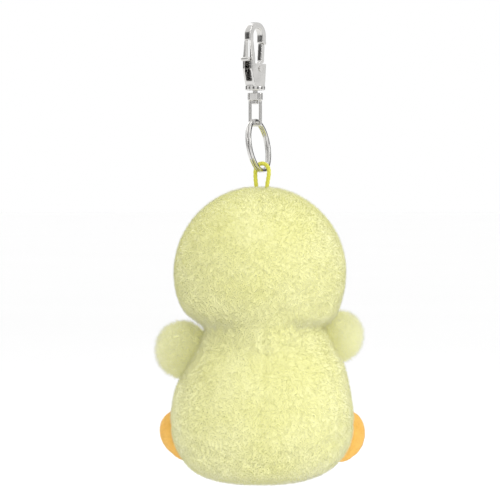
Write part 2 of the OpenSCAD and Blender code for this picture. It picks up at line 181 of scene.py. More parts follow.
class Graph:
    """Places and links nodes in a node tree"""

    def __init__(self, tree):
        self.tree = tree
        self.column = 0

    def add(self, kind, settings=None, **values):
        node = self.tree.nodes.new(kind)
        node.location = (self.column, 0)
        self.column += 180
        for key, value in (settings or {}).items():
            setattr(node, key, value)
        for key, value in values.items():
            self.put(node, key, value)
        return node

    def put(self, node, key, value):
        """Sets or links a socket, given by its label or, as in0 and in1, by its place"""
        numbered = key.startswith("in") and key[2:].isdigit()
        socket = node.inputs[int(key[2:]) if numbered else key.replace("_", " ")]
        if isinstance(value, bpy.types.NodeSocket):
            self.tree.links.new(value, socket)
        else:
            socket.default_value = value


def new_group(name, inputs, outputs):
    tree = bpy.data.node_groups.new(name, "ShaderNodeTree")
    for label, kind, default in inputs:
        socket = tree.interface.new_socket(label, in_out="INPUT", socket_type=kind)
        socket.default_value = default
    for label, kind in outputs:
        tree.interface.new_socket(label, in_out="OUTPUT", socket_type=kind)
    graph = Graph(tree)
    return tree, graph, graph.add("NodeGroupInput"), graph.add("NodeGroupOutput")


def multiplied(graph, color, shade):
    """A colour darkened or tinted by a shade"""
    node = graph.add("ShaderNodeMix", {"data_type": "RGBA", "blend_type": "MULTIPLY"}, Factor=1.0,
                     in6=color, in7=shade)
    return node.outputs[2]


def cloudy_group():
    """Soft cloudy patches, as pile brushed this way and that shows, and a fine fleck"""
    tree, graph, given, result = new_group(
        "Cloudy Pile",
        [("Main", "NodeSocketColor", (1, 1, 1, 1)), ("Other", "NodeSocketColor", (1, 1, 1, 1)),
         ("Patch", "NodeSocketFloat", 90.0), ("Fleck", "NodeSocketFloat", 1400.0),
         ("Depth", "NodeSocketFloat", 0.2)],
        [("Color", "NodeSocketColor"), ("Height", "NodeSocketFloat")])
    place = graph.add("ShaderNodeTexCoord").outputs["Object"]
    patch = graph.add("ShaderNodeTexNoise", Vector=place, Scale=given.outputs["Patch"],
                      Detail=3.0, Roughness=0.55)
    spread = graph.add("ShaderNodeMapRange", in0=patch.outputs["Fac"], in1=0.38, in2=0.62, in3=0.0, in4=1.0)
    tone = graph.add("ShaderNodeMix", {"data_type": "RGBA"}, Factor=spread.outputs[0],
                     in6=given.outputs["Main"], in7=given.outputs["Other"])
    fleck = graph.add("ShaderNodeTexNoise", Vector=place, Scale=given.outputs["Fleck"],
                      Detail=2.0, Roughness=0.6)
    shade = graph.add("ShaderNodeMapRange", in0=fleck.outputs["Fac"], in1=0.3, in2=0.7, in3=1.0)
    lowest = graph.add("ShaderNodeMath", {"operation": "SUBTRACT"}, in0=1.0, in1=given.outputs["Depth"])
    tree.links.new(lowest.outputs[0], shade.inputs[3])
    shade.inputs[4].default_value = 1.0
    tree.links.new(multiplied(graph, tone.outputs[2], shade.outputs[0]), result.inputs["Color"])
    tree.links.new(fleck.outputs["Fac"], result.inputs["Height"])
    return tree


def wear_group():
    """Fine scratches, dull patches and cast ripple of plated metal"""
    tree, graph, given, result = new_group(
        "Plated Wear",
        [("Shine", "NodeSocketFloat", 0.12), ("Dull", "NodeSocketFloat", 0.32),
         ("Grain", "NodeSocketFloat", 900.0)],
        [("Roughness", "NodeSocketFloat"), ("Tint", "NodeSocketFloat"), ("Height", "NodeSocketFloat")])
    place = graph.add("ShaderNodeTexCoord").outputs["Object"]
    cloud = graph.add("ShaderNodeTexNoise", Vector=place, Scale=260.0, Detail=4.0, Roughness=0.6)
    stretched = graph.add("ShaderNodeMapping", Vector=place, Scale=(1.0, 1.0, 0.15))
    scratch = graph.add("ShaderNodeTexNoise", Vector=stretched.outputs[0], Scale=given.outputs["Grain"],
                        Detail=2.0)
    mixed = graph.add("ShaderNodeMath", {"operation": "MULTIPLY"}, in0=cloud.outputs["Fac"],
                      in1=scratch.outputs["Fac"])
    rough = graph.add("ShaderNodeMapRange", in0=mixed.outputs[0], in1=0.12, in2=0.42)
    tree.links.new(given.outputs["Shine"], rough.inputs[3])
    tree.links.new(given.outputs["Dull"], rough.inputs[4])
    tint = graph.add("ShaderNodeMapRange", in0=cloud.outputs["Fac"], in1=0.35, in2=0.7, in3=1.0, in4=0.86)
    tree.links.new(rough.outputs[0], result.inputs["Roughness"])
    tree.links.new(tint.outputs[0], result.inputs["Tint"])
    tree.links.new(scratch.outputs["Fac"], result.inputs["Height"])
    return tree


def weave_group():
    """Crossed threads of a woven or braided cloth, with painted shade in the grooves between the threads"""
    tree, graph, given, result = new_group(
        "Crossed Threads",
        [("Color", "NodeSocketColor", (1, 1, 1, 1)), ("Threads", "NodeSocketFloat", 2200.0),
         ("Depth", "NodeSocketFloat", 0.3)],
        [("Color", "NodeSocketColor"), ("Height", "NodeSocketFloat")])
    place = graph.add("ShaderNodeTexCoord").outputs["Object"]
    first = graph.add("ShaderNodeTexWave", {"bands_direction": "DIAGONAL"}, Vector=place,
                      Scale=given.outputs["Threads"], Distortion=0.6, Detail=1.0)
    turned = graph.add("ShaderNodeMapping", Vector=place, Rotation=(0.0, math.pi / 2, math.pi / 2))
    second = graph.add("ShaderNodeTexWave", {"bands_direction": "DIAGONAL"}, Vector=turned.outputs[0],
                       Scale=given.outputs["Threads"], Distortion=0.6, Detail=1.0)
    height = graph.add("ShaderNodeMath", {"operation": "MAXIMUM"}, in0=first.outputs["Fac"],
                       in1=second.outputs["Fac"])
    # Depth is how far the colour is darkened where the threads dip, as painted shade between the threads
    lowest = graph.add("ShaderNodeMath", {"operation": "SUBTRACT"}, in0=1.0, in1=given.outputs["Depth"])
    shade = graph.add("ShaderNodeMapRange", in0=height.outputs[0], in1=0.0, in2=1.0, in4=1.0)
    tree.links.new(lowest.outputs[0], shade.inputs[3])
    tree.links.new(multiplied(graph, given.outputs["Color"], shade.outputs[0]), result.inputs["Color"])
    tree.links.new(height.outputs[0], result.inputs["Height"])
    return tree


GROUP_MAKERS = {"Cloudy Pile": cloudy_group, "Plated Wear": wear_group, "Crossed Threads": weave_group}


def placed_group(graph, name, **values):
    tree = bpy.data.node_groups.get(name) or GROUP_MAKERS[name]()
    node = graph.add("ShaderNodeGroup")
    node.node_tree = tree
    for key, value in values.items():
        graph.put(node, key, value)
    return node


def new_material(name, **constants):
    """A material with its Principled BSDF, whose given sockets keep one value all over"""
    material = bpy.data.materials.new(name)
    material.use_nodes = True
    graph = Graph(material.node_tree)
    shader = material.node_tree.nodes["Principled BSDF"]
    for key, value in constants.items():
        shader.inputs[key.replace("_", " ")].default_value = value
    return material, graph, shader


def add_bump(graph, shader, height, strength, distance):
    bump = graph.add("ShaderNodeBump", Strength=strength, Distance=distance, Height=height)
    graph.put(shader, "Normal", bump.outputs["Normal"])


def rgba(color):
    return (*color, 1.0)


def pile_material(name, main, other, patch=45.0, depth=0.08, sheen=1.0, bump=0.35):
    material, graph, shader = new_material(
        name, Roughness=0.95, Specular_IOR_Level=0.08, Sheen_Weight=sheen, Sheen_Roughness=0.45,
        Sheen_Tint=(1.0, 1.0, 0.95, 1.0))
    cloud = placed_group(graph, "Cloudy Pile", Main=rgba(main), Other=rgba(other), Patch=patch, Depth=depth)
    graph.put(shader, "Base_Color", cloud.outputs["Color"])
    add_bump(graph, shader, cloud.outputs["Height"], bump, 0.3 * MM)
    return material


def add_wear(graph, shader, color, shine, dull, grain, bump):
    """Gives a hard finish its worn tint, its patches of roughness and its fine ripple"""
    wear = placed_group(graph, "Plated Wear", Shine=shine, Dull=dull, Grain=grain)
    graph.put(shader, "Base_Color", multiplied(graph, rgba(color), wear.outputs["Tint"]))
    graph.put(shader, "Roughness", wear.outputs["Roughness"])
    add_bump(graph, shader, wear.outputs["Height"], bump, 0.05 * MM)


def metal_material(name, color, shine, dull, grain=900.0):
    material, graph, shader = new_material(name, Metallic=1.0)
    add_wear(graph, shader, color, shine, dull, grain, 0.12)
    return material


def thread_material(name, color, threads, depth):
    material, graph, shader = new_material(
        name, Roughness=0.7, Specular_IOR_Level=0.3, Sheen_Weight=0.3, Sheen_Roughness=0.4)
    weave = placed_group(graph, "Crossed Threads", Color=rgba(color), Threads=threads, Depth=depth)
    graph.put(shader, "Base_Color", weave.outputs["Color"])
    add_bump(graph, shader, weave.outputs["Height"], 0.4, 0.15 * MM)
    return material


def plastic_material(name, color, roughness, coat):
    material, graph, shader = new_material(name, Coat_Weight=coat, Coat_Roughness=0.04)
    add_wear(graph, shader, color, roughness, roughness + 0.12, 1500.0, 0.05)
    return material


MATERIALS = {}


def build_materials():
    plush = plush_settings()
    yellow, pale, orange = tuple(plush.yellow), tuple(plush.pale_yellow), tuple(plush.orange)
    light_orange = tuple(min(1.0, c * 1.08 + 0.03) for c in orange)
    # a paler yellow for the wings' pile: painted light that makes up for the shade the body throws on the
    # wings
    wing_yellow_painted_lighter = tuple(min(0.97, c * 1.06) for c in pale)
    nickel = tuple(metal_settings().nickel)
    MATERIALS.update({
        "skin": pile_material("Short Plush Backing", tuple(c * 0.97 for c in yellow), pale),
        "pile": pile_material("Short Plush Pile", yellow, pale, depth=0.06, bump=0.04),
        "wing_skin": pile_material("Long Plush Backing", yellow, pale),
        # the wings' pile takes paler yellows than the body's pile, as painted light in place of the light the
        # body keeps off them
        "wing_pile": pile_material("Long Plush Pile", pale, wing_yellow_painted_lighter, patch=90.0, depth=0.04, bump=0.04),
        "felt": pile_material("Orange Felt", orange, light_orange, patch=160.0, depth=0.16, sheen=0.25),
        "nap": pile_material("Orange Nap", orange, light_orange, patch=160.0, depth=0.08, sheen=0.25,
                             bump=0.05),
        "cast_nickel": metal_material("Cast Nickel Plate", nickel, 0.10, 0.28),
        "pressed_nickel": metal_material("Pressed Nickel Plate", tuple(c * 1.04 for c in nickel), 0.08, 0.22),
        "wire_nickel": metal_material("Nickel Wire", tuple(c * 0.97 for c in nickel), 0.08, 0.24,
                                      grain=1400.0),
        "spring": metal_material("Spring Wire", (0.56, 0.55, 0.54), 0.22, 0.42),
        # the cord's and the bag cloth's colour is painted darker between their threads, as painted shade
        "cord": thread_material("Braided Cord", tuple(plush.cord_yellow), 5200.0, 0.35),
        "bag": thread_material("Pellet Bag Cloth", (0.86, 0.86, 0.82), 2600.0, 0.25),
        "wadding": pile_material("Wadding", (0.86, 0.86, 0.84), (0.93, 0.93, 0.92), patch=300.0, depth=0.12),
        "bead": plastic_material("Polished Black Bead", (0.012, 0.011, 0.011), 0.08, 0.6),
        "nylon": plastic_material("Natural Nylon", (0.86, 0.86, 0.82), 0.42, 0.0),
    })


def coat(obj, name):
    obj.data.materials.clear()
    obj.data.materials.append(MATERIALS[name])


# ---------- meshes ----------

def in_scene(name, data):
    """A new object of the scene that holds the given mesh, light or camera"""
    obj = bpy.data.objects.new(name, data)
    bpy.context.scene.collection.objects.link(obj)
    return obj


def mesh_object(name, vertices, faces):
    mesh = bpy.data.meshes.new(name)
    mesh.from_pydata([tuple(v) for v in vertices], [], faces)
    mesh.validate()
    mesh.update()
    obj = in_scene(name, mesh)
    mesh.polygons.foreach_set("use_smooth", [True] * len(mesh.polygons))
    return obj


def only_select(obj):
    bpy.ops.object.select_all(action="DESELECT")
    obj.select_set(True)
    bpy.context.view_layer.objects.active = obj


def apply_modifiers(obj):
    only_select(obj)
    for modifier in list(obj.modifiers):
        bpy.ops.object.modifier_apply(modifier=modifier.name)


def grid_faces(rows, columns, closed=True):
    """Faces of a grid of rows; each row joins up with itself when closed"""
    faces = []
    for row in range(rows - 1):
        for column in range(columns if closed else columns - 1):
            after = (column + 1) % columns
            faces.append((row * columns + column, row * columns + after,
                          (row + 1) * columns + after, (row + 1) * columns + column))
    return faces


def sweep(name, path, section, twist):
    """A tube with flat ends: the section's points carried along the path, their x starting towards twist"""
    count = len(path)
    side = twist
    vertices = []
    for i, point in enumerate(path):
        before, after = path[max(i - 1, 0)], path[min(i + 1, count - 1)]
        way = (after - before).normalized()
        side = (side - way * side.dot(way)).normalized()
        other = way.cross(side)
        points = section(i / (count - 1)) if callable(section) else section
        vertices += [point + side * x + other * y for x, y in points]
    columns = len(vertices) // count
    faces = grid_faces(count, columns)
    faces.append(tuple(reversed(range(columns))))
    faces.append(tuple(range((count - 1) * columns, count * columns)))
    return mesh_object(name, vertices, faces)


def circle_section(radius, sides):
    return [(radius * math.cos(TAU * s / sides), radius * math.sin(TAU * s / sides)) for s in range(sides)]


def smooth_path(points, steps):
    """A curve through every point, with so many steps between neighbours"""
    ends = [points[0] * 2 - points[1]] + list(points) + [points[-1] * 2 - points[-2]]
    path = []
    for i in range(1, len(ends) - 2):
        a, b, c, d = ends[i - 1:i + 3]
        for step in range(steps):
            t = step / steps
            path.append(0.5 * (2 * b + (c - a) * t + (2 * a - 5 * b + 4 * c - d) * t * t
                               + (3 * b - a - 3 * c + d) * t ** 3))
    return path + [Vector(points[-1])]


def path_length(path):
    return sum((b - a).length for a, b in zip(path, path[1:]))


def rounded_copy(node, name, material, rounds, voxel=None):
    """A copy of a CAD piece with its edges rounded, which stands for it"""
    source = frame["nodes"][node]
    mesh = source.data.copy()
    mesh.name = name
    obj = in_scene(name, mesh)
    remesh = obj.modifiers.new("Round", "REMESH")
    remesh.mode = "VOXEL"
    remesh.voxel_size = voxel or metal_settings().edge_voxel
    remesh.use_smooth_shade = True
    smooth = obj.modifiers.new("Soften", "SMOOTH")
    smooth.factor = 0.5
    smooth.iterations = rounds
    apply_modifiers(obj)
    coat(obj, material)
    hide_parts(node)
    return obj


# ---------- stuffed forms ----------

def falloff(distance, width):
    return math.exp(-(distance / width) ** 2)


def smoothstep(low, high, value):
    t = min(1.0, max(0.0, (value - low) / (high - low)))
    return t * t * (3 - 2 * t)


SKIN = 0.9 * MM            # the backing lies this far inside the tips of the pile
HEAD_SHIFT = 0.8 * MM      # the stuffed head sits a little to one side
CENTRE_SEAM = math.pi / 2  # the seam down the middle of the back
SIDE_SEAM = 0.58           # how far the body's side seams lie behind its sides, in radians
BODY_SEAMS = (CENTRE_SEAM, SIDE_SEAM, math.pi - SIDE_SEAM)
HEAD_SEAMS = (CENTRE_SEAM, 0.06, math.pi - 0.06)
CREASE = 0.8 * MM + NECK_Z - BASE_Z    # height of the neck's crease above the base
CREASE_TILT = 0.9 * MM     # the crease stands this much higher on one side, and lower on the other
ROUND_FROM = 12 * MM       # the head is a plain ball from this far below its middle upwards


def head_line(height):
    """Radius of the head at a height above the base, before it is tucked in at the neck"""
    rise = height + BASE_Z - HEAD_MID
    return math.sqrt(max(0.0, (HEAD_R - SKIN) ** 2 - rise ** 2))


def flank_line(height):
    """Radius of the body's flank at a height above the base"""
    return BODY_R - FLANK_R + math.sqrt(max(0.0, (FLANK_R - SKIN) ** 2 - (height - BASE_R) ** 2))


def soft_larger(a, b, width):
    """The larger of two values, eased over a width where they meet"""
    meet = max(width - abs(a - b), 0.0) / width
    return max(a, b) + meet * meet * width / 4


def base_seam_height(turn):
    """The seam round the base is lowest behind and in front, and rises to the side seams"""
    return 7.8 * MM + 14 * MM * (1 - abs(math.sin(turn))) ** 0.45


def seam_distance(turn, radius, seams):
    """Distance round the form from the nearest upright seam"""
    nearest = min(abs(math.remainder(turn - seam, TAU)) for seam in seams)
    return nearest * max(radius, 1 * MM)


def neck_radius(turn, height):
    """Radius near the neck, where the tucked head and full shoulders meet in a crease that fades behind"""
    side = math.cos(turn)
    level = height - CREASE_TILT * side
    tuck = (3.4 - 0.6 * side) * MM * (1 - smoothstep(CREASE - 1.5 * MM, CREASE + 5 * MM, level))
    fullness = (2.4 - 0.6 * side) * MM * smoothstep(CREASE - 9 * MM, CREASE, level)
    fade = max(0.0, math.sin(turn)) ** 7
    width = (1.4 + 15 * fade + 3 * max(0.0, -math.sin(turn)) ** 3) * MM
    return soft_larger(head_line(height) - tuck * (1 - 0.5 * fade), flank_line(height) + fullness, width)


def skin_rows():
    """(height, radius) of each row up the form, radius None where the neck shapes it"""
    flat, bend, flank, ball = 6, 17, 36, 46    # rows on the base, its rounding, the flank and the head
    lift = BASE_R - SKIN
    rows = [(SKIN + 0.25 * MM * (1 - i / flat), (BODY_R - BASE_R) * i / flat) for i in range(flat)]
    for i in range(bend):
        angle = math.pi / 2 * i / bend
        rows.append((BASE_R - lift * math.cos(angle), BODY_R - BASE_R + lift * math.sin(angle)))
    top = HEAD_MID - BASE_Z - ROUND_FROM
    rows += [(BASE_R + (top - BASE_R) * i / flank, None) for i in range(flank)]
    radius = HEAD_R - SKIN
    first = math.acos(-ROUND_FROM / radius)
    for i in range(ball):
        angle = first * (1 - i / ball)
        rows.append((HEAD_MID - BASE_Z + radius * math.cos(angle), radius * math.sin(angle)))
    return rows


def skin_point(turn, height, radius):
    side = math.cos(turn)
    if radius is None:
        radius = neck_radius(turn, height)
    on_body = 1 - smoothstep(CREASE - 1 * MM, CREASE + 1 * MM, height - CREASE_TILT * side)
    body_gap = seam_distance(turn, radius, BODY_SEAMS)
    head_gap = seam_distance(turn, radius, HEAD_SEAMS)
    above_base = smoothstep(-1 * MM, 3 * MM, height - base_seam_height(turn))
    groove = 0.4 * MM * falloff(body_gap, 0.8 * MM) * on_body * above_base
    groove += 0.22 * MM * falloff(head_gap, 0.8 * MM) * (1 - on_body)
    base_groove = falloff(height - base_seam_height(turn), 0.9 * MM)
    groove += 0.8 * MM * base_groove * smoothstep(8 * MM, 14 * MM, radius)
    top = HEAD_TOP - BASE_Z
    crown = 0.5 * MM * falloff(radius, 4 * MM) * smoothstep(top - 6 * MM, top - 2 * MM, height)
    tuck_under = 2.2 * MM * falloff(height, 3 * MM) * smoothstep(4 * MM, 12 * MM, radius)
    radius = max(radius - groove - tuck_under, 0.0)
    lean = -1.6 * MM * falloff(height - 47 * MM, 9 * MM) + 0.7 * MM * falloff(height - 3 * MM, 5 * MM)
    shift = lean + HEAD_SHIFT * smoothstep(CREASE, HEAD_MID - BASE_Z - 8 * MM, height)
    return Vector((AXIS_X + shift + radius * side, AXIS_Y + radius * math.sin(turn), BASE_Z + height - crown))


def skin_form(name, columns):
    """The closed form of the body and head, made of rings with a point at each end"""
    rows = skin_rows()
    vertices = [skin_point(0.0, rows[0][0], 0.0)]
    for height, radius in rows[1:]:
        vertices += [skin_point(TAU * column / columns, height, radius) for column in range(columns)]
    vertices.append(skin_point(0.0, HEAD_TOP - BASE_Z - SKIN, 0.0))
    faces = [(0, 1 + (column + 1) % columns, 1 + column) for column in range(columns)]
    for face in grid_faces(len(rows) - 1, columns):
        faces.append(tuple(corner + 1 for corner in face))
    start = 1 + (len(rows) - 2) * columns
    tip = len(vertices) - 1
    faces += [(start + column, start + (column + 1) % columns, tip) for column in range(columns)]
    return mesh_object(name, vertices, faces)


def fix_normals(obj):
    mesh = bmesh.new()
    mesh.from_mesh(obj.data)
    bmesh.ops.recalc_face_normals(mesh, faces=mesh.faces)
    mesh.to_mesh(obj.data)
    mesh.free()


def fill_out(obj, is_sewn, pressure, cap, frames=16):
    """Stuffs a form with a short cloth simulation that holds it at its seams, and caps how far it swells"""
    rest = [vertex.co.copy() for vertex in obj.data.vertices]
    sewn = obj.vertex_groups.new(name="sewn")
    sewn.add([i for i, place in enumerate(rest) if is_sewn(place)], 1.0, "REPLACE")
    cloth = obj.modifiers.new("Stuffing", "CLOTH")
    cloth.settings.vertex_group_mass = "sewn"
    cloth.settings.mass = 0.15
    cloth.settings.tension_stiffness = 12
    cloth.settings.compression_stiffness = 12
    cloth.settings.bending_stiffness = 0.4
    cloth.settings.use_pressure = True
    cloth.settings.uniform_pressure_force = pressure
    cloth.settings.effector_weights.gravity = 0
    cloth.settings.quality = 6
    cloth.collision_settings.use_collision = False
    cloth.point_cache.frame_start = 1
    cloth.point_cache.frame_end = frames
    scene = bpy.context.scene
    for step in range(1, frames + 1):
        scene.frame_set(step)
    apply_modifiers(obj)
    scene.frame_set(1)
    for vertex, place in zip(obj.data.vertices, rest):
        moved = vertex.co - place
        if moved.length > cap:
            vertex.co = place + moved.normalized() * cap
    obj.vertex_groups.clear()


def refine(obj):
    subdivision = obj.modifiers.new("Refine", "SUBSURF")
    subdivision.levels = 1
    apply_modifiers(obj)
    obj.data.polygons.foreach_set("use_smooth", [True] * len(obj.data.polygons))


# ---------- pile ----------

def skin_triangles(obj):
    """Corner places and normals of a form's triangles"""
    mesh = obj.data
    mesh.calc_loop_triangles()
    count = len(mesh.loop_triangles)
    corners = np.empty(count * 3, np.int32)
    mesh.loop_triangles.foreach_get("vertices", corners)
    places = np.empty(len(mesh.vertices) * 3)
    mesh.vertices.foreach_get("co", places)
    normals = np.empty(len(mesh.vertices) * 3, np.float32)
    mesh.vertex_normals.foreach_get("vector", normals)
    corners = corners.reshape(-1, 3)
    return places.reshape(-1, 3)[corners], normals.reshape(-1, 3)[corners].astype(float)


def unit_rows(rows):
    return rows / np.maximum(np.linalg.norm(rows, axis=1, keepdims=True), 1e-12)


def scatter_roots(obj, strands, keep, random):
    """Places spread evenly over the part of a form that is kept, and the form's normal at each"""
    places, normals = skin_triangles(obj)
    chosen = keep(places.mean(axis=1))
    places, normals = places[chosen], normals[chosen]
    areas = np.linalg.norm(np.cross(places[:, 1] - places[:, 0], places[:, 2] - places[:, 0]), axis=1)
    picked = random.choice(len(areas), strands, p=areas / areas.sum())
    a, b = random.random(strands), random.random(strands)
    folded = a + b > 1
    a[folded], b[folded] = 1 - a[folded], 1 - b[folded]
    shares = np.stack([1 - a - b, a, b], axis=1)[:, :, None]
    root = (places[picked] * shares).sum(axis=1)
    return root, unit_rows((normals[picked] * shares).sum(axis=1))


def spike_mesh(name, corners):
    """A mesh of closed spikes, each with three corners at its foot and then its tip"""
    vertices = corners.reshape(-1, 3)
    shape = np.array([[1, 0, 3], [2, 1, 3], [0, 2, 3], [0, 1, 2]])
    loops = (np.arange(len(corners))[:, None, None] * 4 + shape[None]).reshape(-1)
    mesh = bpy.data.meshes.new(name)
    mesh.vertices.add(len(vertices))
    mesh.vertices.foreach_set("co", vertices.reshape(-1))
    mesh.loops.add(len(loops))
    mesh.loops.foreach_set("vertex_index", loops.astype(np.int32))
    mesh.polygons.add(len(loops) // 3)
    mesh.polygons.foreach_set("loop_start", np.arange(0, len(loops), 3, dtype=np.int32))
    mesh.update(calc_edges=True)
    mesh.polygons.foreach_set("use_smooth", np.ones(len(mesh.polygons), bool))
    return mesh, loops


def grow_pile(name, obj, strands, length, width, material, keep, flow=(0, 0, -1), lean=0.55, stray=0.4,
              airy=False, seed=1):
    """A coat of tapered strands rooted all over a form, each a thin closed spike"""
    random = np.random.default_rng(seed)
    root, normal = scatter_roots(obj, strands, keep, random)
    drift = np.asarray(flow, float)[None, :] - normal * (normal @ np.asarray(flow, float))[:, None]
    swirl = np.stack([
        np.sin(root @ np.array([190.0, 90.0, 130.0])),
        np.cos(root @ np.array([110.0, 170.0, 60.0])),
        np.sin(root @ np.array([70.0, 120.0, 200.0])),
    ], axis=1)
    way = unit_rows(normal + lean * drift + 0.10 * swirl + stray * random.normal(size=(strands, 3)) * 0.6)
    reach = length * (0.6 + 0.5 * random.random(strands))[:, None]
    # each strand lies with its flat face outwards
    side = unit_rows(np.cross(way, normal + 0.02 * random.normal(size=(strands, 3))))
    side *= np.sign((np.cross(side, way) * normal).sum(axis=1, keepdims=True))
    other = np.cross(side, way)
    half = width / 2 * (0.75 + 0.5 * random.random(strands))[:, None]
    foot = root - normal * 0.15 * MM
    points = [foot + side * half, foot - side * half, foot - other * half, foot + way * reach]
    mesh, loops = spike_mesh(name, np.stack(points, axis=1))
    lay_out_strands(mesh, root, loops)
    pile = in_scene(name, mesh)
    # fine fibres pass most light on, so the coat doesn't shade itself
    pile.visible_shadow = False
    pile.visible_diffuse = not airy
    coat(pile, material)
    return pile


def lay_out_strands(mesh, root, loops):
    """Lays each strand's map in a small cell, near where its root lies on the form"""
    low, high = root.min(axis=0), root.max(axis=0)
    span = np.maximum(high - low, 1e-9)
    spread, cell = 0.98, 0.004    # share of the map that the roots cover, and width of a strand's cell
    across = (root[:, 0] - low[0]) / span[0] * spread
    along = (root[:, 2] - low[2]) / span[2] * spread
    offsets = np.array([[0, 0], [cell, 0], [0, cell], [cell, cell]])
    spots = np.stack([across, along], axis=1)[:, None, :] + offsets[None]
    layer = mesh.uv_layers.new(name="OFBake")
    layer.data.foreach_set("uv", spots.reshape(-1, 2)[loops].reshape(-1))


# ---------- operators ----------

class KEYCHAIN_OT_hook(bpy.types.Operator):
    """Makes the cast snap hook, its trigger, pin and spring"""

    bl_idname = "keychain.hook"
    bl_label = "Snap Hook"

    def execute(self, context):
        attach(rounded_copy("snap_body", "snap_hook_casting", "cast_nickel", rounds=40), "clip")
        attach(rounded_copy("gate_lever", "trigger_and_gate", "pressed_nickel", rounds=20), "trigger")
        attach(rounded_copy("lever_pin", "trigger_pin", "pressed_nickel", voxel=0.07 * MM, rounds=4), "clip")
        low, high = node_low("lever_spring"), node_high("lever_spring")
        wire = 0.36 * MM
        middle = (low + high) / 2
        radius = (high.x - low.x) / 2 - wire / 2
        turns = 5
        steps = 24 * turns
        path = []
        for i in range(steps + 1):
            turn = TAU * turns * i / steps
            rise = low.z + wire / 2 + (high.z - low.z - wire) * i / steps
            path.append(Vector((middle.x + radius * math.cos(turn),
                                middle.y + radius * math.sin(turn), rise)))
        spring = sweep("trigger_spring", path, circle_section(wire / 2, 10), twist=UP)
        coat(spring, "spring")
        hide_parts("lever_spring")
        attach(spring, "clip")
        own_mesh(spring)
        return {"FINISHED"}


class KEYCHAIN_OT_swivel(bpy.types.Operator):
    """Makes the swivel eye and its rivet"""

    bl_idname = "keychain.swivel"
    bl_label = "Swivel Eye"

    def execute(self, context):
        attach(rounded_copy("swivel_eye", "swivel_eye_wire", "cast_nickel", rounds=16), "swivel")
        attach(rounded_copy("swivel_rivet", "swivel_rivet_peened", "pressed_nickel", rounds=6), "swivel")
        return {"FINISHED"}


RING_R = 10 * MM          # outside radius of the split ring
RING_WIRE_W = 1.3 * MM    # its wire's width in the plane of the ring
RING_WIRE_T = 0.98 * MM   # and thickness along the ring's axis
TURN_GAP = 0.06 * MM      # space between the ring's two turns


def ring_frame():
    """The ring's centre, its axis and a direction in its plane towards its top"""
    axis = joint_axis("ring_swing")
    pivot = joint_place("ring_swing")
    up = (pivot - LOOP).normalized()
    return LOOP + up * (RING_R - RING_WIRE_W / 2), axis, up


class KEYCHAIN_OT_ring(bpy.types.Operator):
    """Makes the split ring: two turns of flat wire that cross at a step"""

    bl_idname = "keychain.ring"
    bl_label = "Split Ring"

    def execute(self, context):
        centre, axis, up = ring_frame()
        across = axis.cross(up)
        radius = RING_R - RING_WIRE_W / 2
        first = math.radians(157) + math.pi    # direction of the wire's first end
        turns = 2 * 0.985
        step_at = TAU * 0.9925                 # where the wire steps over from one turn to the other
        steps = 240
        path = []
        for i in range(steps + 1):
            turn = TAU * turns * i / steps
            angle = first - turn
            layer = smoothstep(-0.14, 0.14, turn - step_at) * 2 - 1
            offset = layer * (RING_WIRE_T + TURN_GAP) / 2
            path.append(centre + (up * math.cos(angle) + across * math.sin(angle)) * radius + axis * offset)
        section = rounded_rectangle(RING_WIRE_T, RING_WIRE_W, 0.32 * MM, 4)
        ring = sweep("split_ring_wire", path, section, twist=axis)
        coat(ring, "wire_nickel")
        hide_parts("split_ring")
        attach(ring, "ring")
        return {"FINISHED"}


def rounded_rectangle(width, height, corner, steps):
    points = []
    for quarter, (sx, sy) in enumerate(((1, 1), (-1, 1), (-1, -1), (1, -1))):
        for step in range(steps + 1):
            angle = (quarter + step / steps) * math.pi / 2
            points.append((sx * (width / 2 - corner) + corner * math.cos(angle),
                           sy * (height / 2 - corner) + corner * math.sin(angle)))
    return points


# The cord's middle line out of the head, over the split ring and back in, in millimetres from the place that
# the loop swings about: across the loop, along the axis it swings on, and up.
CORD_ROUTE = [
    (1.2, 0, -12.2), (1.6, 0, -10.6), (1.9, 0, -8.8), (2.2, 0, -7), (2.4, 0, -5.2), (2.6, 0, -3.4),
    (2.7, 0, -1.7), (2.65, 0, 0), (2.4, 0, 1.1), (1.8, 0, 2), (1, 0, 2.5), (0, 0, 2.7),
    (-1, 0, 2.5), (-1.8, 0, 2), (-2.4, 0, 1.1), (-2.65, 0, 0), (-2.6, 0, -1.7), (-2.3, 0, -3.4),
    (-2, 0, -5.2), (-1.9, 0, -7), (-1.7, 0, -8.8), (-1.5, 0, -10.6), (-1.2, 0, -12.2),
]


class KEYCHAIN_OT_cord(bpy.types.Operator):
    """Makes the braided cord loop that the chick hangs by"""

    bl_idname = "keychain.cord"
    bl_label = "Cord Loop"

    def execute(self, context):
        diameter = 1.5 * MM
        along = joint_axis("loop_swing")
        across = along.cross(UP).normalized()
        route = [LOOP + (across * x + along * y + UP * z) * MM for x, y, z in CORD_ROUTE]
        path = smooth_path(route, 10)
        length = path_length(path)
        sides = 36
        strands = 4
        pitch = 2.6 * MM

        def braid(share):
            turn = TAU * share * length / pitch
            points = []
            for side in range(sides):
                angle = TAU * side / sides
                first = math.cos(strands * angle / 2 + turn) ** 2
                second = math.cos(strands * angle / 2 - turn + math.pi / 2) ** 2
                radius = diameter / 2 * (0.80 + 0.24 * max(first, second) ** 0.7)
                points.append((radius * math.cos(angle), radius * math.sin(angle)))
            return points

        cord = sweep("braided_cord_loop", path, braid, twist=along)
        coat(cord, "cord")
        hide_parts("cord_loop")
        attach(cord, "chick")
        return {"FINISHED"}


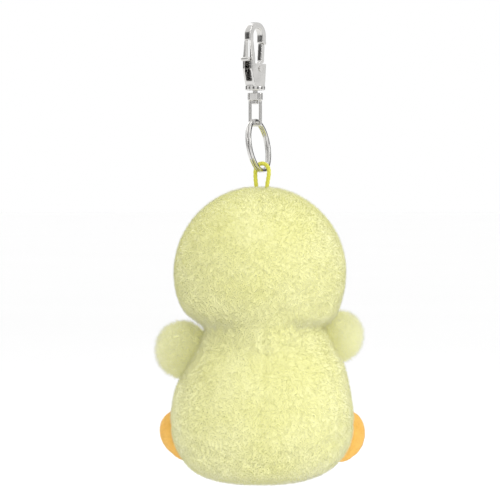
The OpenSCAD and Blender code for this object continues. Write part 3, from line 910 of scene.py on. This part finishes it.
def sewn_on_skin(place):
    """Whether a point of the form lies on a seam, in the neck's crease or by the cord"""
    turn = math.atan2(place.y - AXIS_Y, place.x - AXIS_X)
    out = math.hypot(place.x - AXIS_X, place.y - AXIS_Y)
    height = place.z - BASE_Z
    in_crease = abs(height - CREASE) < 2 * MM
    by_cord = height > HEAD_TOP - BASE_Z - 4 * MM and out < 4 * MM
    seams = BODY_SEAMS if height < CREASE else HEAD_SEAMS
    upright = height > base_seam_height(turn) and seam_distance(turn, out, seams) < 0.9 * MM
    on_base = abs(height - base_seam_height(turn)) < 0.9 * MM
    return in_crease or by_cord or upright or on_base


class KEYCHAIN_OT_plush(bpy.types.Operator):
    """Makes the stuffed head and body and the short pile on them"""

    bl_idname = "keychain.plush"
    bl_label = "Head and Body"

    def execute(self, context):
        skin = skin_form("plush_backing", 132)
        fix_normals(skin)
        fill_out(skin, sewn_on_skin, pressure=4.0, cap=0.6 * MM)
        refine(skin)
        coat(skin, "skin")
        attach(skin, "chick")
        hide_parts("head_back_left", "head_back_right", "head_face", "head_stuffing",
                    "body_back_left", "body_back_right", "body_belly", "body_base", "body_stuffing")
        plush = plush_settings()
        crease = BASE_Z + CREASE

        def region(behind, above):
            def keep(places):
                return ((places[:, 1] > AXIS_Y) == behind) & ((places[:, 2] > crease) == above)
            return keep

        coats = (("head_back_pile", region(True, True)), ("head_face_pile", region(False, True)),
                 ("body_back_pile", region(True, False)), ("body_belly_pile", region(False, False)))
        for seed, (name, keep) in enumerate(coats, start=11):
            pile = grow_pile(name, skin, plush.strands, plush.pile_length, width=0.15 * MM,
                             material="pile", keep=keep, lean=0.8, stray=0.26, seed=seed)
            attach(pile, "chick")
        return {"FINISHED"}


def root_frame(joint):
    """Place of a flipper's root and its directions: out of the body, across it, and along the root"""
    place, along = joint_place(joint), joint_axis(joint)
    out = Vector((place.x - AXIS_X, place.y - AXIS_Y, 0)).normalized()
    across = UP.cross(out).normalized()
    return place, across.cross(along).normalized(), across, along


def pillow(name, joint, reach, half_length, thickness, outline, inward, out_by=0.0, up_by=0.0):
    """A padded flipper: a crowned pad with a rounded rim, flat where it is sewn to the body"""
    place, out, across, along = root_frame(joint)
    rings, columns = 20, 72

    def spot(face, ring, column):
        angle = TAU * column / columns
        share = math.sin(math.pi / 2 * ring / rings)
        towards_root = 1.7 if math.cos(angle) < 0 else 1.0
        x = out_by + reach * outline(angle) * share * math.cos(angle) * towards_root
        z = up_by + half_length * outline(angle) * share * math.sin(angle)
        crown = (1 - share ** 2.4) ** 0.55
        root = smoothstep(-inward, 5 * MM, x)
        y = face * thickness / 2 * crown * (0.55 + 0.45 * root)
        return place + out * max(x, -inward) + across * y + along * z

    vertices = [spot(1, 0, 0)]
    for ring in range(1, rings + 1):
        vertices += [spot(1, ring, column) for column in range(columns)]
    for ring in range(rings - 1, 0, -1):
        vertices += [spot(-1, ring, column) for column in range(columns)]
    vertices.append(spot(-1, 0, 0))
    faces = [(0, 1 + column, 1 + (column + 1) % columns) for column in range(columns)]
    for a, b, c, d in grid_faces(2 * rings - 1, columns):
        faces.append((a + 1, b + 1, c + 1, d + 1))
    start = 1 + (2 * rings - 2) * columns
    tip = len(vertices) - 1
    faces += [(start + (column + 1) % columns, start + column, tip) for column in range(columns)]
    obj = mesh_object(name, vertices, faces)
    fix_normals(obj)
    return obj


def pillow_rim(joint):
    """Says which points of a flipper lie on its seam or its root"""
    place, out, across = root_frame(joint)[:3]

    def sewn(point):
        away = point - place
        return abs(away.dot(across)) < 0.35 * MM or away.dot(out) < 0.2 * MM
    return sewn


def beyond_root(joint, start):
    """Says which places on a flipper lie further out than a start, measured from its root"""
    place, out = root_frame(joint)[:2]
    middle, outward = np.array(place), np.array(out)

    def outside(places):
        return (places - middle) @ outward > start
    return outside


def join_to_body(obj):
    """Bakes a piece's placement into its mesh"""
    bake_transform(obj)


WING_SIZES = {    # reach, half length, place of the middle out from and along the root, and depth of the root
    "left": (8.8 * MM, 10.0 * MM, 1.5 * MM, 1.9 * MM, 4.6 * MM),
    "right": (8.2 * MM, 8.6 * MM, 3.0 * MM, -0.2 * MM, 3.0 * MM),
}


class KEYCHAIN_OT_wings(bpy.types.Operator):
    """Makes the two stuffed wings and their longer pile"""

    bl_idname = "keychain.wings"
    bl_label = "Wings"

    def execute(self, context):
        plush = plush_settings()
        for seed, side in enumerate(("left", "right"), start=31):
            joint, body = f"wing_{side}_flex", f"wing_{side}"

            def outline(angle):
                return 1.0 - 0.12 * max(0.0, math.cos(angle + 0.95)) ** 2

            reach, half_length, out_by, up_by, inward = WING_SIZES[side]
            shown = -inward + 0.8 * MM
            wing = pillow(f"wing_{side}_backing", joint, reach, half_length, thickness=8.4 * MM,
                          outline=outline, inward=inward, out_by=out_by, up_by=up_by)
            fill_out(wing, pillow_rim(joint), pressure=6.0, cap=0.8 * MM)
            refine(wing)
            coat(wing, "wing_skin")
            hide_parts(f"wing_{side}_back", f"wing_{side}_front", f"wing_{side}_stuffing")
            out = root_frame(joint)[1]
            pile = grow_pile(f"wing_{side}_pile", wing, 12000, plush.wing_pile_length, width=0.14 * MM,
                             material="wing_pile", keep=beyond_root(joint, shown),
                             flow=tuple(out - UP * 0.3), lean=0.8, stray=0.6, airy=True, seed=seed)
            for piece in (wing, pile):
                join_to_body(piece)
        return {"FINISHED"}


FOOT_CUT = {"left": 0.20, "right": 0.06}    # how far each foot's lower outer side is drawn in, as a share


class KEYCHAIN_OT_feet(bpy.types.Operator):
    """Makes the two padded feet and their short nap"""

    bl_idname = "keychain.feet"
    bl_label = "Feet"

    def execute(self, context):
        plush = plush_settings()
        for seed, side in enumerate(("left", "right"), start=41):
            joint, body = f"foot_{side}_flex", f"foot_{side}"

            def outline(angle):
                web = 0.045 * abs(math.cos(1.5 * angle)) ** 0.5
                drawn_in = FOOT_CUT[side] * max(0.0, math.cos(angle + 0.85)) ** 2
                return 0.97 + web + 0.03 * math.sin(angle) - drawn_in

            foot = pillow(f"foot_{side}_felt", joint, reach=10.0 * MM, half_length=10.2 * MM,
                          thickness=6.6 * MM, outline=outline, inward=2.5 * MM)
            fill_out(foot, pillow_rim(joint), pressure=6.0, cap=0.6 * MM)
            refine(foot)
            coat(foot, "felt")
            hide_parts(f"foot_{side}_back", f"foot_{side}_front", f"foot_{side}_stuffing")
            out = root_frame(joint)[1]
            nap = grow_pile(f"foot_{side}_nap", foot, 16000, plush.felt_length, width=0.08 * MM,
                            material="nap", keep=beyond_root(joint, -1.2 * MM),
                            flow=tuple(out), lean=0.3, stray=0.6, seed=seed)
            for piece in (foot, nap):
                join_to_body(piece)
        return {"FINISHED"}


class KEYCHAIN_OT_face(bpy.types.Operator):
    """Makes the bead eyes and the felt beak"""

    bl_idname = "keychain.face"
    bl_label = "Face"

    def execute(self, context):
        for side in ("left", "right"):
            bead = rounded_copy(f"eye_{side}", f"bead_eye_{side}", "bead", voxel=0.14 * MM, rounds=6)
            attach(bead, "chick")
        for seed, half in enumerate(("upper", "lower"), start=51):
            beak = rounded_copy(f"beak_{half}", f"beak_{half}_felt", "felt", voxel=0.25 * MM, rounds=8)
            nap = grow_pile(f"beak_{half}_nap", beak, 4000, plush_settings().felt_length, width=0.08 * MM,
                            material="nap", keep=lambda places: places[:, 1] < places[:, 1].max() - 0.6 * MM,
                            flow=(0, -1, 0), lean=0.3, stray=0.6, seed=seed)
            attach(beak, "chick")
            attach(nap, "chick")
        return {"FINISHED"}


class KEYCHAIN_OT_insides(bpy.types.Operator):
    """Finishes the pieces inside the chick"""

    bl_idname = "keychain.insides"
    bl_label = "Insides"

    def execute(self, context):
        finishes = {"cord_knot": "cord", "pellet_bag": "bag",
                    "eye_washer_left": "nylon", "eye_washer_right": "nylon"}
        for node, material in finishes.items():
            coat(frame["nodes"][node], material)
        return {"FINISHED"}


class KEYCHAIN_OT_stage(bpy.types.Operator):
    """Makes the pale floor, the soft lights and the camera"""

    bl_idname = "keychain.stage"
    bl_label = "Stage"

    def execute(self, context):
        middle = Vector((AXIS_X, AXIS_Y, (CAD_BOX[0][2] + CAD_BOX[1][2]) / 2))
        self.floor()
        self.camera(middle)
        self.lights(middle)
        self.flags(middle)
        return {"FINISHED"}

    def floor(self):
        """A wide pale floor some way under the hanging chick"""
        level = CAD_BOX[0][2] - 60 * MM
        reach, rings, columns = 12.0, 6, 48
        vertices = [Vector((0, 0, level))]
        for ring in range(1, rings + 1):
            out = reach * (ring / rings) ** 2
            for column in range(columns):
                angle = TAU * column / columns
                vertices.append(Vector((out * math.cos(angle), out * math.sin(angle), level)))
        faces = [(0, 1 + column, 1 + (column + 1) % columns) for column in range(columns)]
        faces += [tuple(i + 1 for i in face) for face in grid_faces(rings, columns)]
        floor = mesh_object("pale_floor", vertices, faces)
        fix_normals(floor)
        material, graph, shader = new_material("Pale Floor", Roughness=0.9, Specular_IOR_Level=0.1)
        place = graph.add("ShaderNodeTexCoord").outputs["Object"]
        grain = graph.add("ShaderNodeTexNoise", Vector=place, Scale=3.0, Detail=2.0)
        tone = graph.add("ShaderNodeMapRange", in0=grain.outputs["Fac"], in3=0.985, in4=1.0)
        graph.put(shader, "Base_Color", tone.outputs[0])
        floor.data.materials.append(material)

    def flags(self, middle):
        """Dark upright panels that only the bright metal reflects"""
        material, graph, shader = new_material("Dark Flag", Roughness=0.9, Specular_IOR_Level=0.0)
        place = graph.add("ShaderNodeTexCoord").outputs["Object"]
        cloth = graph.add("ShaderNodeTexNoise", Vector=place, Scale=6.0)
        tone = graph.add("ShaderNodeMapRange", in0=cloth.outputs["Fac"], in3=0.08, in4=0.12)
        graph.put(shader, "Base_Color", tone.outputs[0])
        panels, away = 7, 2.6
        for panel in range(panels):
            first = TAU * (panel + 0.15) / panels
            width = TAU / panels * 0.42
            vertices = []
            for rise in (-0.1, 1.2):
                for i in range(5):
                    angle = first + width * i / 4
                    vertices.append(middle + Vector((away * math.cos(angle), away * math.sin(angle), rise)))
            flag = mesh_object(f"flag_{panel + 1}", vertices, grid_faces(2, 5, closed=False))
            flag.data.materials.append(material)
            flag.visible_camera = False
            flag.visible_diffuse = False
            flag.visible_shadow = False

    def camera(self, middle):
        distance, elevation, azimuth = 1.1, math.radians(1.5), math.radians(180)
        away = Vector((math.sin(azimuth) * math.cos(elevation), -math.cos(azimuth) * math.cos(elevation),
                       math.sin(elevation)))
        data = bpy.data.cameras.new("Camera")
        camera = in_scene("Camera", data)
        aim = Vector((VIEW_X, middle.y, VIEW_Z))
        camera.location = aim + away * distance
        camera.rotation_euler = (-away).to_track_quat("-Z", "Y").to_euler()
        data.sensor_width = 36
        data.lens = data.sensor_width * distance / VIEW_WIDTH
        data.clip_start = 0.01
        data.clip_end = 50
        bpy.context.scene.camera = camera

    def lights(self, middle):
        lamps = (    # name, place from the middle of the piece, size in metres and power in watts
            ("Key", (-0.95, 0.50, 0.45), 0.55, 3.1),
            ("Top", (0.0, 0.25, 1.0), 0.7, 1.3),
            ("Front Key", (0.5, -0.8, 0.6), 0.7, 2.0),
        )
        for name, place, size, power in lamps:
            data = bpy.data.lights.new(name, "AREA")
            data.shape = "DISK"
            data.size = size
            data.energy = power
            lamp = in_scene(name, data)
            lamp.location = middle + Vector(place)
            lamp.rotation_euler = (-Vector(place)).to_track_quat("-Z", "Y").to_euler()
        self.surround()
        bpy.context.scene.view_settings.view_transform = "Standard"

    def surround(self):
        """A plain white surround"""
        world = bpy.data.worlds.new("Studio")
        world.use_nodes = True
        background = world.node_tree.nodes["Background"]
        background.inputs["Color"].default_value = (1, 1, 1, 1)
        background.inputs["Strength"].default_value = 1.0
        bpy.context.scene.world = world


class KEYCHAIN_PT_panel(bpy.types.Panel):
    """Lists the pieces and their settings"""

    bl_idname = "KEYCHAIN_PT_panel"
    bl_label = "Keychain"
    bl_space_type = "VIEW_3D"
    bl_region_type = "UI"
    bl_category = "Keychain"

    def draw(self, context):
        column = self.layout.column()
        for settings in (context.scene.keychain_plush, context.scene.keychain_metal):
            for name in settings.__annotations__:
                column.prop(settings, name)
        for operator in OPERATORS:
            column.operator(operator.bl_idname)


OPERATORS = (KEYCHAIN_OT_stage, KEYCHAIN_OT_cord, KEYCHAIN_OT_hook, KEYCHAIN_OT_swivel, KEYCHAIN_OT_ring,
             KEYCHAIN_OT_plush, KEYCHAIN_OT_wings, KEYCHAIN_OT_feet, KEYCHAIN_OT_face, KEYCHAIN_OT_insides)
CLASSES = (KeychainPlush, KeychainMetal, *OPERATORS, KEYCHAIN_PT_panel)


def register():
    for cls in CLASSES:
        bpy.utils.register_class(cls)
    bpy.types.Scene.keychain_plush = bpy.props.PointerProperty(type=KeychainPlush)
    bpy.types.Scene.keychain_metal = bpy.props.PointerProperty(type=KeychainMetal)


def unregister():
    del bpy.types.Scene.keychain_metal
    del bpy.types.Scene.keychain_plush
    for cls in reversed(CLASSES):
        bpy.utils.unregister_class(cls)


def main():
    register()
    build_materials()
    bpy.ops.keychain.stage()
    bpy.ops.keychain.cord()
    bpy.ops.keychain.hook()
    bpy.ops.keychain.swivel()
    bpy.ops.keychain.ring()
    bpy.ops.keychain.plush()
    bpy.ops.keychain.wings()
    bpy.ops.keychain.feet()
    bpy.ops.keychain.face()
    bpy.ops.keychain.insides()
    bpy.context.view_layer.update()


if __name__ == "__main__":
    main()
